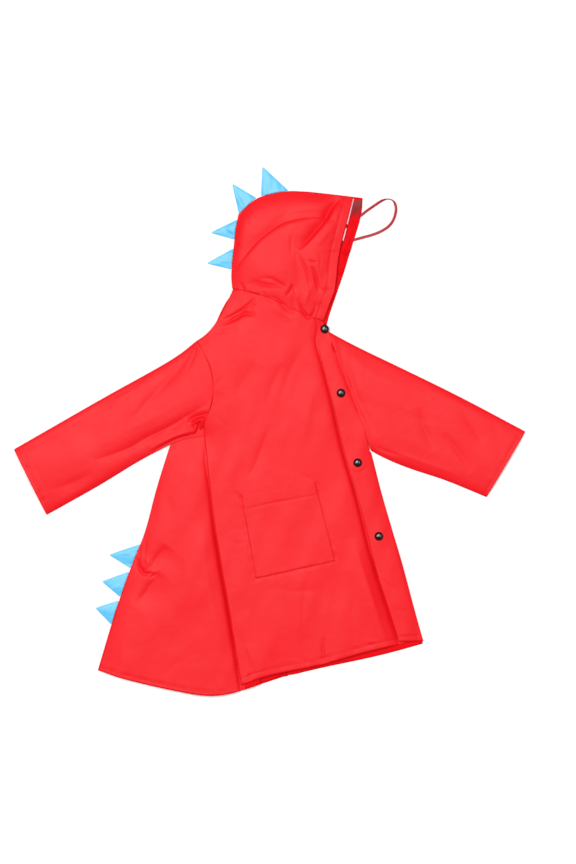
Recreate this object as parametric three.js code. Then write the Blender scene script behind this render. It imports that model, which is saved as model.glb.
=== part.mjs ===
// Child's hooded raincoat, laid flat in three-quarter profile with the wearer's right side up.
// Millimetres. The coat lies on z = 0, +Y runs from the hem to the hood, +X to the coat's opening.
// Each piece of cloth is a wall: a grid of points on its lower face, and the same grid one cloth higher.
import * as THREE from 'three';

// Driving dimensions
const CLOTH = 1.2;            // coated cloth with its turned-in allowances
const SEAM = 0.35;            // clearance between pieces that are sewn or lie together
const LAY = CLOTH + SEAM;     // rise of one layer lying on another
const BODY_LOFT = 7;          // how far the upper cloth stands off over the body and sleeves
const HOOD_LOFT = 14;         // the same over the hood
const EASE = 20;              // width of the rise next to a closed edge
const TUCK = 36;              // right back running on beneath the right front
const TUCK_SPREAD = 0.2;      // how much further it runs, for each millimetre above the armpit
const OVERLAP = 26;           // right front running on beneath the snap strip
const OVERLAP_SHARE = 0.55;   // or this share of the strip's width, where that is less
const FACE_DROP = 0.45;       // share of its loft that the hood's near half loses at its front edge
const FACE_REACH = 30;        // how far in from the edge it does so
const STEP = 2;               // how much deeper the right front dips under the strip at the hem
const CUFF_ROWS = 13;         // stations along a sleeve

// Where the long seams and folds cross the body, level by level.
const BODY = [
  // y: level, back: centre-back seam, side: right armhole then right side seam,
  // strip: free edge of the snap strip, fold: left armhole then the left front's fold
  { y: 200, back: -96, side: -130, strip: 97, fold: 100 },
  { y: 186, back: -101, side: -130, strip: 90, fold: 104 },
  { y: 164, back: -110, side: -130, strip: 86.5, fold: 115 },
  { y: 124, back: -126, side: -108, strip: 96, fold: 126 },
  { y: 79, back: -141, side: -100, strip: 108, fold: 145 },
  { y: 42, back: -155, side: -105, strip: 117, fold: 159 },
  { y: 15, back: -165, side: -117, strip: 123, fold: 168 },
  { y: -36, back: -182, side: -113, strip: 135, fold: 183 },
  { y: -103, back: -203, side: -106, strip: 155, fold: 200 },
  { y: -186, back: -225, side: -95, strip: 178, fold: 224 },
  { y: -229, back: -243, side: -88, strip: 187, fold: 237 },
  { y: -319, back: -275, side: -72, strip: 215, fold: 261 },
  { y: -405, back: -301, side: -58, strip: 243, fold: 285 },
  { y: -480, back: -323, side: -46, strip: 268, fold: 306 },
];

// Upper outline of the body from the armhole over the shoulder, up the nape and along the neck seam.
const NECK = [
  { x: -130, y: 164 }, { x: -94, y: 194 }, { x: -84, y: 221 }, { x: -76, y: 243 }, { x: -66, y: 257 },
  { x: -60, y: 256.5 }, { x: -7, y: 243 }, { x: 72, y: 207 }, { x: 100, y: 197 }, { x: 110, y: 190 },
];

// Lower edges: the right back, the right front over it, and the layer that shows beneath both.
const BACK_HEM = [
  { x: -306, y: -429 }, { x: -267, y: -442 }, { x: -227, y: -452 }, { x: -168, y: -465 },
  { x: -104, y: -475 }, { x: -63, y: -469 }, { x: -40, y: -462 }, { x: -10, y: -451 },
];
const FRONT_HEM = [
  { x: -54, y: -456 }, { x: -36, y: -448 }, { x: 15, y: -434 }, { x: 85, y: -420 },
  { x: 168, y: -397 }, { x: 235, y: -381 }, { x: 270, y: -376 },
];
const UNDER_HEM = [
  { x: -306, y: -426 }, { x: -227, y: -447 }, { x: -110, y: -468 }, { x: -44, y: -463 }, { x: 10, y: -445 },
  { x: 85, y: -424 }, { x: 168, y: -407 }, { x: 260, y: -385 }, { x: 290, y: -377 },
];
const STRIP_HEM = -376;

// Edges of the hood, from the neck upwards.
const HOOD_BACK = [[-66, 257], [-68, 276], [-67, 300], [-64, 328], [-61, 358], [-55, 392]];
const HOOD_TOP = [[-55, 392], [-44, 402], [-24, 420], [2, 428], [41, 434], [80, 430], [119, 427], [151, 422]];
const HOOD_NEAR_FACE = [[98, 198], [109, 230], [118, 254], [126, 323], [139, 373], [151, 422]];
const HOOD_FAR_TOP = [[-55, 392], [-44, 402], [-24, 420], [2, 428], [41, 434], [119, 427], [168, 421]];
const HOOD_FAR_FACE = [[104, 197], [120, 245], [135, 288], [146, 325], [159, 366], [167, 394], [168, 421]];

// Sleeves: set into a seam of the body between two levels; the folded edges run on from there to the cuff.
const RIGHT_SLEEVE = {
  seam: 'side',
  away: -2 * SEAM,
  armhole: [164, -8],
  cuff: [[-459, -31], [-400, -149]],
  upper: [[-160, 140], [-304, 58], [-459, -31]],
  lower: [[-134, -9], [-160, -14], [-189, -28], [-232, -51], [-304, -95], [-400, -149]],
};
const LEFT_SLEEVE = {
  seam: 'fold',
  away: 2 * SEAM,
  armhole: [181, -34],
  cuff: [[461, 1], [391, -117]],
  upper: [[149, 158], [236, 116], [344, 63], [461, 1]],
  lower: [[214, -50], [257, -67], [315, -86], [391, -117]],
};

// Spikes: each row is one, by its tip and the two ends of its sewn base.
const HOOD_SPIKES = [
  { tip: [-11, 476], from: [-16, 430], to: [35, 436] },
  { tip: [-65, 445], from: [-57, 396], to: [-24, 423] },
  { tip: [-103, 359], from: [-61, 383], to: [-66, 347] },
  { tip: [-110, 304], from: [-66, 331], to: [-70, 293] },
];
const BACK_SPIKES = [
  { tip: [-286, -221], from: [-236, -200], to: [-252, -244] },
  { tip: [-299, -269], from: [-255, -250], to: [-271, -296] },
  { tip: [-311, -317], from: [-273, -302], to: [-288, -345] },
];
const SPIKE_PADDING = 1.9;    // two layers and their turned-in edges, fullest in the middle
const SPIKE_TIP = 2.4;        // blunt width of a turned-out point

const POCKET = {
  topLeft: [-50, -116], topRight: [83, -91], bottomRight: [119, -231], bottomLeft: [-24, -263],
};

const SNAPS = [{ x: 100, y: 185 }, { x: 129, y: 70 }, { x: 159, y: -55 }, { x: 197, y: -187 }];
const SNAP_RADIUS = 7.8;
const SNAP_HEIGHT = 6;

const PEAK = {                // clear film let into the hood's front edge
  inner: [[134, 385], [137, 397], [141, 412]],
  outer: [[161, 385], [165, 402], [167, 419]],
};
const PEAK_FILM = 1;
const PEAK_DROP = 0.8;        // the film's edge below the hood's own, where it is sewn in

// The ribbon loop's centre line: from the edge of the hood's far half, round, and back to it.
const LOOP = [
  [167.3, 391.3, 1.6], [171.5, 394.8, 1.6], [177, 399, 1.6], [184, 403.8, 1.6], [193, 410, 1.6],
  [202, 415.6, 1.6], [211, 418.8, 1.6], [218.5, 418.6, 1.6], [225, 413.6, 1.6], [228.2, 404, 1.6],
  [227.3, 393, 1.6], [223, 380.6, 1.6], [215, 370.2, 1.6], [202, 361.6, 1.6], [186.5, 355.2, 1.6],
  [169, 350.4, 1.6], [154.6, 346.4, 1.6],
];
const LOOP_RADIUS = 1.5;
const LOOP_SIDES = 8;
const LOOP_STEPS = 30;

const FABRIC = { color: 0xfb2e36, roughness: 0.45, metalness: 0 };
const SPIKE_CLOTH = { color: 0x5cc4ea, roughness: 0.5, metalness: 0 };

// Reads one column of a table at any value of another, on a smooth curve through its rows.
function column(table, key, name) {
  const rows = [...table].sort((a, b) => a[key] - b[key]);
  const last = rows.length - 1;
  const run = (i) => (rows[i + 1][name] - rows[i][name]) / (rows[i + 1][key] - rows[i][key]);
  const slope = (i) => (run(Math.max(i - 1, 0)) + run(Math.min(i, last - 1))) / 2;
  return (value) => {
    const i = THREE.MathUtils.clamp(rows.findLastIndex((row) => row[key] <= value), 0, last - 1);
    const [from, to] = [rows[i], rows[i + 1]];
    const span = to[key] - from[key];
    if (value <= rows[0][key]) return from[name] + slope(0) * (value - from[key]);
    if (value >= rows[last][key]) return to[name] + slope(last) * (value - to[key]);
    const t = (value - from[key]) / span;
    const ease = t * t * (3 - 2 * t);
    const bow = t * (1 - t) * span * ((1 - t) * slope(i) - t * slope(i + 1));
    return THREE.MathUtils.lerp(from[name], to[name], ease) + bow;
  };
}

const backSeam = column(BODY, 'y', 'back');
const sideSeam = column(BODY, 'y', 'side');
const stripEdge = column(BODY, 'y', 'strip');
const frontFold = column(BODY, 'y', 'fold');
const neckline = column(NECK, 'x', 'y');
const backHem = column(BACK_HEM, 'x', 'y');
const frontHem = column(FRONT_HEM, 'x', 'y');
const underHem = column(UNDER_HEM, 'x', 'y');
const { lerp, smoothstep } = THREE.MathUtils;

// Distance from (x, y) to the nearest point of a run of corners.
function distanceTo(run, x, y) {
  const point = new THREE.Vector3(x, y, 0);
  const nearest = new THREE.Vector3();
  let least = Infinity;
  for (let i = 0; i + 1 < run.length; i += 1) {
    const line = new THREE.Line3(new THREE.Vector3(...run[i], 0), new THREE.Vector3(...run[i + 1], 0));
    line.closestPointToPoint(point, true, nearest);
    least = Math.min(least, nearest.distanceTo(point));
  }
  return least;
}

// Edges where upper and lower layers close together, so the upper cloth comes down to them.
const levels = (name, top, bottom) => BODY
  .filter((row) => row.y <= top && row.y >= bottom)
  .map((row) => [row[name], row.y]);
const ARMPIT = -36;
const SLEEVE_CROSSING = [
  { x: -182, y: -28 }, { x: -155, y: -16 }, { x: -130, y: -11 }, { x: -116, y: -9 }, { x: -60, y: -8 },
];
const CLOSED_EDGES = [
  NECK.slice(0, 5).map((row) => [row.x, row.y]),
  [...HOOD_BACK, ...HOOD_TOP.slice(1)],
  SLEEVE_CROSSING.slice(0, 4).map((row) => [row.x, row.y]),
  levels('back', ARMPIT, -480),
  levels('fold', ARMPIT, -480),
  [[98, 198], [105, 181]],
];

// How many layers of cloth lie beneath the upper one: one under the hood, two under the body,
// and a third where the right sleeve's own under side meets the armhole.
function layersBelow(x, y) {
  const body = 1 - smoothstep(y, 235, 300);
  const armhole = (1 - smoothstep(x, -110, -50)) * smoothstep(y, -18, 18) * (1 - smoothstep(y, 150, 215));
  return 1 + body + armhole;
}

// Stand-off of the upper cloth: full inside, none at closed edges.
function loft(x, y) {
  const away = Math.min(...CLOSED_EDGES.map((run) => distanceTo(run, x, y)));
  const hood = smoothstep(y, 225, 310);
  const open = 1 - FACE_DROP * hood * Math.exp(-distanceTo(HOOD_NEAR_FACE, x, y) / FACE_REACH);
  return lerp(BODY_LOFT, HOOD_LOFT, hood) * open * (1 - Math.exp(-away / EASE));
}

const upperCloth = (x, y) => LAY * layersBelow(x, y) + loft(x, y);

// The right back carries the same loft below the sleeve, and lies flat where the sleeve and front cover it.
const sleeveCrossing = column(SLEEVE_CROSSING, 'x', 'y');
function rightBack(x, y) {
  const below = smoothstep(sleeveCrossing(Math.min(x, -60)) - y, 4, 50);
  return LAY + loft(x, y) * below;
}

// The right front dips beneath the strip, further and wider towards the hem.
const DIP_END = 2;
const dipWidth = (y) => lerp(12, 30, smoothstep(-y, -150, 370));
function rightFront(x, y) {
  const dip = LAY + 0.5 + STEP * smoothstep(-y, 100, 370);
  const end = stripEdge(y) - DIP_END;
  return Math.max(upperCloth(x, y) - dip * smoothstep(x, end - dipWidth(y), end), LAY);
}

// Closes a grid of points into a wall. lower(r, c) and upper(r, c) give the two faces, and present(r, c)
// says which cells the piece has.
function wall(rows, columns, lower, upper, present = () => true) {
  const positions = [];
  const side = (rows + 1) * (columns + 1);
  for (const face of [lower, upper]) {
    for (let r = 0; r <= rows; r += 1) {
      for (let c = 0; c <= columns; c += 1) positions.push(...face(r, c));
    }
  }
  const indices = [];
  const quad = (a, b, c, d) => indices.push(a, b, c, a, c, d);
  const at = (r, c) => r * (columns + 1) + c;
  const has = (r, c) => r >= 0 && c >= 0 && r < rows && c < columns && present(r, c);
  for (let r = 0; r < rows; r += 1) {
    for (let c = 0; c < columns; c += 1) {
      if (!has(r, c)) continue;
      const corners = [at(r, c), at(r + 1, c), at(r + 1, c + 1), at(r, c + 1)];
      const beyond = [has(r, c - 1), has(r + 1, c), has(r, c + 1), has(r - 1, c)];
      quad(...corners.map((i) => i + side));
      quad(...[...corners].reverse());
      beyond.forEach((joined, k) => {
        const [from, to] = [corners[k], corners[(k + 1) % 4]];
        if (!joined) quad(from, to, to + side, from + side);
      });
    }
  }
  return solid(positions, indices);
}

// A geometry whose faces point out, whichever way its grid was wound.
function solid(positions, indices) {
  const corner = (i) => new THREE.Vector3().fromArray(positions, 3 * i);
  let volume = 0;
  for (let i = 0; i < indices.length; i += 3) {
    const [a, b, c] = [0, 1, 2].map((k) => corner(indices[i + k]));
    volume += a.dot(b.cross(c));
  }
  if (volume < 0) {
    for (let i = 0; i < indices.length; i += 3) [indices[i], indices[i + 1]] = [indices[i + 1], indices[i]];
  }
  const used = [...new Set(indices)];
  const renumbered = new Map(used.map((old, fresh) => [old, fresh]));
  const geometry = new THREE.BufferGeometry();
  const places = used.flatMap((i) => corner(i).toArray());
  geometry.setAttribute('position', new THREE.Float32BufferAttribute(places, 3));
  geometry.setIndex(indices.map((i) => renumbered.get(i)));
  geometry.computeVertexNormals();
  return geometry;
}

// A wall that lies at height(x, y) over the plan place(u, v), both from 0 to 1.
function layer(rows, columns, place, height, thickness = () => CLOTH) {
  const point = (r, c, raised) => {
    const [u, v] = [c / columns, r / rows];
    const [x, y] = place(u, v);
    return [x, y, height(x, y) + (raised ? thickness(u, v) : 0)];
  };
  return wall(rows, columns, (r, c) => point(r, c, false), (r, c) => point(r, c, true));
}

// Plan of a body panel. across(u, y) is its place between two seams at a level, top and hem are its
// outlines, and the row at that share of the way down lies level at the armpit.
function panel(across, top, hem, armpit, share) {
  const onOutline = (outline, u) => {
    let x = across(u, outline(0));
    for (let i = 0; i < 12; i += 1) x = lerp(x, across(u, outline(x)), 0.6);
    return outline(x);
  };
  return (u, v) => {
    const y = v < share
      ? lerp(onOutline(top, u), armpit, v / share)
      : lerp(armpit, onOutline(hem, u), (v - share) / (1 - share));
    return [across(u, y), y];
  };
}

function curve(points) {
  const places = points.map(([x, y, z = 0]) => new THREE.Vector3(x, y, z));
  return new THREE.CatmullRomCurve3(places, false, 'centripetal');
}

// Plan between four edges that meet at their ends, blended across both ways.
function between(bottom, top, left, right) {
  const [b, t, l, r] = [bottom, top, left, right].map(curve);
  return (u, v) => {
    const across = l.getPointAt(v).lerp(r.getPointAt(v), u);
    const along = b.getPointAt(u).lerp(t.getPointAt(u), v);
    const flat = b.getPointAt(0).lerp(b.getPointAt(1), u).lerp(t.getPointAt(0).lerp(t.getPointAt(1), u), v);
    const point = across.add(along).sub(flat);
    return [point.x, point.y];
  };
}

const coat = new THREE.Group();

function add(name, geometry, look) {
  const mesh = new THREE.Mesh(geometry, new THREE.MeshStandardMaterial(look));
  mesh.name = name;
  coat.add(mesh);
  return mesh;
}

// Left back: flat on the surface, from the centre-back seam to the left armhole and side seam.
const SHOULDER = 190;         // level above which the back's edge runs straight up
const SIDE_TOP = 30;          // the left side seam starts this far inside the fold at the armpit
const SIDE_HEM = { x: 29, y: -450 };
const leftSide = (y) => lerp(frontFold(ARMPIT) - SIDE_TOP, SIDE_HEM.x, (ARMPIT - y) / (ARMPIT - SIDE_HEM.y));
const leftBackEdge = (y) => lerp(leftSide(y), frontFold(y), smoothstep(y, ARMPIT, ARMPIT + 20));
add('back_left', layer(18, 9, panel(
  (u, y) => lerp(backSeam(Math.min(y, SHOULDER)) + 2 * SEAM, leftBackEdge(y) - 4 * SEAM, u),
  (x) => neckline(Math.max(x, -98)) - 2 * SEAM,
  underHem,
  ARMPIT,
  8 / 18,
), () => 0), FABRIC);

// Right back: on top of it, and on beneath the right front as a tuck.
const tuckEdge = (y) => sideSeam(y) + TUCK + TUCK_SPREAD * Math.max(y, 0) * smoothstep(y, -60, 40);
add('back_right', layer(24, 10, panel(
  (u, y) => lerp(backSeam(y), tuckEdge(y), u),
  (x) => neckline(Math.max(x, -94)) - 9,
  backHem,
  ARMPIT,
  9 / 24,
), rightBack), FABRIC);

// Right front: over the right back at the side seam, and on beneath the strip.
const hiddenEdge = (y) => stripEdge(y) + Math.min(OVERLAP, OVERLAP_SHARE * (frontFold(y) - stripEdge(y)));
const frontColumns = 13;
const frontAcross = (u, y) => {
  const c = Math.round(u * frontColumns);
  if (c === frontColumns) return hiddenEdge(y);
  const dip = stripEdge(y) - DIP_END;
  return c === frontColumns - 1 ? dip : lerp(sideSeam(y), dip - dipWidth(y), c / (frontColumns - 2));
};
const frontPlan = panel(frontAcross, neckline, frontHem, -8, 10 / 27);
add('front_right', layer(27, frontColumns, frontPlan, rightFront), FABRIC);

// Left front: the strip on top, a fold at the coat's edge, and the rest of the panel run back beneath.
{
  const ROWS = 24;
  const [STRIP, FOLD, UNDER] = [3, 4, 5];
  const columns = STRIP + FOLD + UNDER;
  const armpitRow = 9;
  const middle = CLOTH / 2;
  const levelAt = (r, hem) => (r <= armpitRow
    ? lerp(SHOULDER, ARMPIT, r / armpitRow)
    : lerp(ARMPIT, hem, (r - armpitRow) / (ROWS - armpitRow)));
  // Centre of the cloth's thickness, with the direction it faces.
  const station = (r, c) => {
    const beneath = underHem(lerp(frontFold(STRIP_HEM), SIDE_HEM.x, (c - STRIP - FOLD) / UNDER));
    const hem = c <= STRIP + FOLD / 2 ? STRIP_HEM : beneath;
    const y = levelAt(r, hem);
    const edge = frontFold(y);
    const high = upperCloth(edge, y) + middle;
    const radius = (high - middle) / 2;
    const inset = radius * smoothstep(-y, -ARMPIT - 25, -ARMPIT);
    const bend = edge - inset - (y > ARMPIT ? SEAM : 0);
    if (c <= STRIP) {
      const x = lerp(stripEdge(y), bend, c / STRIP);
      return { x, y, z: upperCloth(x, y) + middle, nx: 0, nz: 1 };
    }
    if (c <= STRIP + FOLD) {
      const turn = Math.PI * (c - STRIP) / FOLD;
      const [nx, nz] = [Math.sin(turn), Math.cos(turn)];
      return { x: bend + radius * nx, y, z: middle + radius * (1 + nz), nx, nz };
    }
    const x = lerp(bend, leftSide(y), (c - STRIP - FOLD) / UNDER);
    return { x, y, z: middle, nx: 0, nz: -1 };
  };
  const face = (sign) => (r, c) => {
    const { x, y, z, nx, nz } = station(r, c);
    return [x + sign * middle * nx, y, z + sign * middle * nz];
  };
  add('front_left', wall(ROWS, columns, face(-1), face(1), (r, c) => r >= armpitRow || c < STRIP), FABRIC);
}

// A sleeve: a tube laid flat, open at the armhole and the cuff.
function sleeve({ seam, away, armhole, cuff, upper, lower }, base, lift) {
  const set = column(BODY, 'y', seam);
  const levels = [0, 0.1, 0.2, 0.35, 0.5, 0.65, 0.8, 0.9, 1].map((share) => lerp(...armhole, share));
  const seat = levels.map((y) => [set(y) + away, y]);
  const plan = between(seat, cuff, [seat[0], ...upper], [seat.at(-1), ...lower]);
  const across = [0.012, 0.08, 0.2, 0.35, 0.5, 0.65, 0.8, 0.92, 0.988];
  const edge = CLOTH + LAY;
  // One ring of the tube: along the under side, round a fold, back along the upper side, round the other.
  const ring = [
    ...across.map((t) => ({ t, top: 0 })), { t: 1, fold: true },
    ...[...across].reverse().map((t) => ({ t, top: 1 })), { t: 0, fold: true },
  ];
  const point = (r, c, inner) => {
    const v = r / CUFF_ROWS;
    const { t, top, fold } = ring[c % ring.length];
    const width = new THREE.Vector2(...plan(0, v)).distanceTo(new THREE.Vector2(...plan(1, v)));
    const within = inner ? lerp(CLOTH / width, 1 - CLOTH / width, t) : t;
    const [x, y] = plan(within, v);
    const rise = BODY_LOFT * (1 - Math.exp(-Math.min(t, 1 - t) * width / EASE));
    const floor = base(x, y);
    const skin = inner ? CLOTH : 0;
    if (fold) return [x, y, floor + edge / 2];
    return [x, y, floor + (top ? edge + rise + lift(v) - skin : skin)];
  };
  return tube(CUFF_ROWS, ring.length, (r, c) => point(r, c, true), (r, c) => point(r, c, false));
}

// A wall whose columns close on themselves, open at its two ends.
function tube(rows, columns, inner, outer) {
  const positions = [];
  for (const face of [inner, outer]) {
    for (let r = 0; r <= rows; r += 1) {
      for (let c = 0; c < columns; c += 1) positions.push(...face(r, c));
    }
  }
  const side = (rows + 1) * columns;
  const at = (r, c) => r * columns + (c % columns);
  const indices = [];
  const quad = (a, b, c, d) => indices.push(a, b, c, a, c, d);
  for (let c = 0; c < columns; c += 1) {
    for (let r = 0; r < rows; r += 1) {
      const [a, b, d, e] = [at(r, c), at(r + 1, c), at(r + 1, c + 1), at(r, c + 1)];
      quad(a + side, b + side, d + side, e + side);
      quad(e, d, b, a);
    }
    quad(at(0, c), at(0, c) + side, at(0, c + 1) + side, at(0, c + 1));
    quad(at(rows, c + 1), at(rows, c + 1) + side, at(rows, c) + side, at(rows, c));
  }
  return solid(positions, indices);
}

// The right sleeve rests on both backs near the armhole and comes down to the surface beyond them.
const onBacks = (x, y) => (2 * LAY + 0.3) * smoothstep(x - backSeam(y), -50, -4);
add('sleeve_right', sleeve(RIGHT_SLEEVE, onBacks, () => 0), FABRIC);
add('sleeve_left', sleeve(LEFT_SLEEVE, () => 0, (v) => LAY * (1 - smoothstep(v, 0, 0.3))), FABRIC);

// Hood: the far half on the surface, the near half arched over it, both open at the face and neck.
const neckSeam = (from, to) => {
  const xs = Array.from({ length: 13 }, (_, i) => lerp(from, to, i / 12));
  return xs.map((x) => [x, neckline(x) + 3 * SEAM]);
};
const lifted = (run) => [[run[0][0], run[0][1] + 3 * SEAM], ...run.slice(1)];
const hoodPlan = (face, top) => between(neckSeam(-66, face[0][0]), top, lifted(HOOD_BACK), lifted(face));
add('hood_left', layer(10, 8, hoodPlan(HOOD_FAR_FACE, HOOD_FAR_TOP), () => 0), FABRIC);
add('hood_right', layer(14, 12, hoodPlan(HOOD_NEAR_FACE, HOOD_TOP), upperCloth), FABRIC);

// Clear film between the two halves at the top of the face opening: it hangs from inside the near edge
// and slopes down onto the far half.
{
  const [ROWS, COLUMNS] = [8, 5];
  const [inner, outer] = [curve(PEAK.inner), curve(PEAK.outer)];
  const face = (thickness) => (r, c) => {
    const [v, u] = [r / ROWS, c / COLUMNS];
    const { x, y } = inner.getPointAt(v).lerp(outer.getPointAt(v), u);
    const seat = inner.getPointAt(v);
    const beneath = (at) => upperCloth(at.x, at.y) - PEAK_FILM - SEAM - PEAK_DROP;
    const slope = lerp(beneath(seat), LAY, smoothstep(u, 0.25, 1));
    return [x, y, Math.max(Math.min(slope, beneath({ x, y })), LAY) + thickness];
  };
  add('hood_peak', wall(ROWS, COLUMNS, face(0), face(PEAK_FILM)), {
    color: 0xe8a0a4, roughness: 0.15, metalness: 0, transparent: true, opacity: 0.5,
  });
}

// Patch pocket: made from the right front's own surface, moved out by one layer.
const pocketPlan = (u, v) => {
  const corner = (name) => new THREE.Vector2(...POCKET[name]);
  const top = corner('topLeft').lerp(corner('topRight'), u);
  return top.lerp(corner('bottomLeft').lerp(corner('bottomRight'), u), v).toArray();
};
add('pocket', layer(7, 7, pocketPlan, (x, y) => rightFront(x, y) + LAY + 0.1), FABRIC);

// Spikes: two layers of cloth sewn to a point, their base caught in a seam that runs along samples.
function spike({ tip, from, to }, seam) {
  const [point, left, right] = [tip, from, to].map(([x, y]) => new THREE.Vector2(x, y));
  const base = right.clone().sub(left).normalize();
  const outward = point.clone().sub(left.clone().lerp(right, 0.5)).normalize();
  const nearest = (place) => seam.reduce((a, b) => (a.distanceTo(place) < b.distanceTo(place) ? a : b));
  const plan = (u, v) => {
    const root = nearest(left.clone().lerp(right, u)).clone().addScaledVector(outward, 1.4 * SEAM);
    return root.lerp(point.clone().addScaledVector(base, SPIKE_TIP * (u - 0.5)), v).toArray();
  };
  const padding = (u, v) => CLOTH + SPIKE_PADDING * Math.sin(Math.PI * u) ** 0.7 * (1 - v) ** 0.5;
  return layer(6, 6, plan, () => 0, padding);
}
const SEAM_SAMPLES = 600;
const sampled = (at) => Array.from({ length: SEAM_SAMPLES }, (_, i) => at(i / (SEAM_SAMPLES - 1)));
const hoodBack = curve(HOOD_BACK);
const hoodTop = curve(HOOD_TOP);
const hoodSeam = sampled((t) => (t < 0.5 ? hoodBack.getPointAt(2 * t) : hoodTop.getPointAt(2 * t - 1)))
  .map((at) => new THREE.Vector2(at.x, at.y));
const centreBack = sampled((t) => lerp(ARMPIT, -430, t)).map((y) => new THREE.Vector2(backSeam(y), y));
HOOD_SPIKES.forEach((row, i) => add(`hood_spike_${i + 1}`, spike(row, hoodSeam), SPIKE_CLOTH));
BACK_SPIKES.forEach((row, i) => add(`back_spike_${i + 1}`, spike(row, centreBack), SPIKE_CLOTH));

// Snap caps on the strip: a low dome over a rolled rim.
const snapProfile = [
  // shares of the cap's radius and height
  [0, 0], [0.8, 0], [1, 0.12], [1, 0.3], [0.84, 0.64], [0.52, 0.9], [0, 1],
].map(([r, z]) => new THREE.Vector2(r * SNAP_RADIUS, z * SNAP_HEIGHT));
SNAPS.forEach(({ x, y }, i) => {
  const cap = new THREE.LatheGeometry(snapProfile, 20).rotateX(Math.PI / 2);
  const around = [0, 1, 2, 3, 4, 5, 6, 7].map((k) => {
    const angle = (k * Math.PI) / 4;
    return upperCloth(x + SNAP_RADIUS * Math.cos(angle), y + SNAP_RADIUS * Math.sin(angle));
  });
  const snap = add(`snap_${i + 1}`, cap, { color: 0x101012, roughness: 0.2, metalness: 0 });
  snap.position.set(x, y, Math.max(...around) + LAY);
});

// Ribbon loop, both ends caught in the edge of the hood's far half.
{
  const section = new THREE.Shape(Array.from({ length: LOOP_SIDES }, (_, k) => {
    const angle = (2 * Math.PI * k) / LOOP_SIDES;
    return new THREE.Vector2(Math.cos(angle), Math.sin(angle)).multiplyScalar(LOOP_RADIUS);
  }));
  const options = { steps: LOOP_STEPS, bevelEnabled: false, extrudePath: curve(LOOP) };
  const look = { color: 0xc31f2e, roughness: 0.5, metalness: 0 };
  add('hood_loop', new THREE.ExtrudeGeometry(section, options), look);
}

export default coat;
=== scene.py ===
"""A child's hooded raincoat of coated red polyester, laid flat with its right side up, in metres."""
import math
from collections import namedtuple

import bmesh
import bpy
import numpy as np
from mathutils import Matrix, Vector
from mathutils.bvhtree import BVHTree


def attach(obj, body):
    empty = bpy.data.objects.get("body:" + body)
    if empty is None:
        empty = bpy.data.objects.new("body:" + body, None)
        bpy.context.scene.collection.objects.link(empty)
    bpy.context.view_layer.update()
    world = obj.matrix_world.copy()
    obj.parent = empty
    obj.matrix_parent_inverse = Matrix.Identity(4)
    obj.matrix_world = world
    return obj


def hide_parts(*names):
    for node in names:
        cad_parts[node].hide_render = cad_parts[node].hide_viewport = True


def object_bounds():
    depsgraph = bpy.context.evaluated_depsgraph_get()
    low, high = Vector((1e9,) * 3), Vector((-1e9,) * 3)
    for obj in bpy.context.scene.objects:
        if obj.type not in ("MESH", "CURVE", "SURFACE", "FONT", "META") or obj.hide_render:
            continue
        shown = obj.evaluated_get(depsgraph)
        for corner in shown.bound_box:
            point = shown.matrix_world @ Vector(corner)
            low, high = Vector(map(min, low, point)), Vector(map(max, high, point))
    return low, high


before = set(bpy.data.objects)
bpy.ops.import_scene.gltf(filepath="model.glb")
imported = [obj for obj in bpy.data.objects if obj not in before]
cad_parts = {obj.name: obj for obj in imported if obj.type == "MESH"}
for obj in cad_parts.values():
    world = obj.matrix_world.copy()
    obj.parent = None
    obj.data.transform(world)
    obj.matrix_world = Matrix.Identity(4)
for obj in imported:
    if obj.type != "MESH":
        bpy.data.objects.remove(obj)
cad_low, cad_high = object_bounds()
MM = 0.001

# Camera
# It looks straight down on the coat, as on clothes laid out on a table. The coat lies a little left of the
# middle of its view.
FIELD = 1.555                      # height of what it sees, at the surface
LENS, SENSOR = 85.0, 36.0
OFF_CENTRE = Vector((0.033, -0.0005, 0.0))
AIM = (cad_low + cad_high) / 2 + OFF_CENTRE

camera_data = bpy.data.cameras.new("camera")
camera_data.lens = LENS
camera_data.sensor_width = SENSOR
camera = bpy.data.objects.new("camera", camera_data)
camera.location = (AIM.x, AIM.y, FIELD * LENS / SENSOR)
bpy.context.scene.collection.objects.link(camera)
bpy.context.scene.camera = camera


# Hood loop
# A narrow woven ribbon, bent into a loop and caught in the edge of the hood's far half, to hang the coat by.
# It lies on the surface beside the hood, on its edge where it turns.
RIBBON_WIDTH, RIBBON_THICKNESS = 4.6 * MM, 0.8 * MM
LOOP_ROUTE = [
    (167.3, 391.3, 1.6), (171.5, 394.8, 1.6), (177, 399, 1.6), (184, 403.8, 1.6), (193, 410, 1.6),
    (202, 415.6, 1.6), (211, 418.8, 1.6), (218.5, 418.6, 1.6), (225, 413.6, 1.6), (228.2, 404, 1.6),
    (227.3, 393, 1.6), (223, 380.6, 1.6), (215, 370.2, 1.6), (202, 361.6, 1.6), (186.5, 355.2, 1.6),
    (169, 350.4, 1.6), (154.6, 346.4, 1.6),
]
LOOP_ENDS = (164.6, 389.0, 0.9), (151.6, 345.6, 0.9)  # within the edge that holds them
EDGE_ON, EDGE_ON_RUN = 0.33, 0.07  # where along the loop it stands on its edge, and for how long
EDGE_ON_TURN = math.radians(84)
WAVER, WAVER_RATE = math.radians(12), 9   # its slight turning to and fro elsewhere
FLOOR_GAP = 0.1 * MM               # the cloth and the ribbons keep this far off the surface
SAMPLE = 1.5 * MM                  # spacing of the points along a smooth route
CURVE_STEPS = 16                   # from one given point to the next


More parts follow.
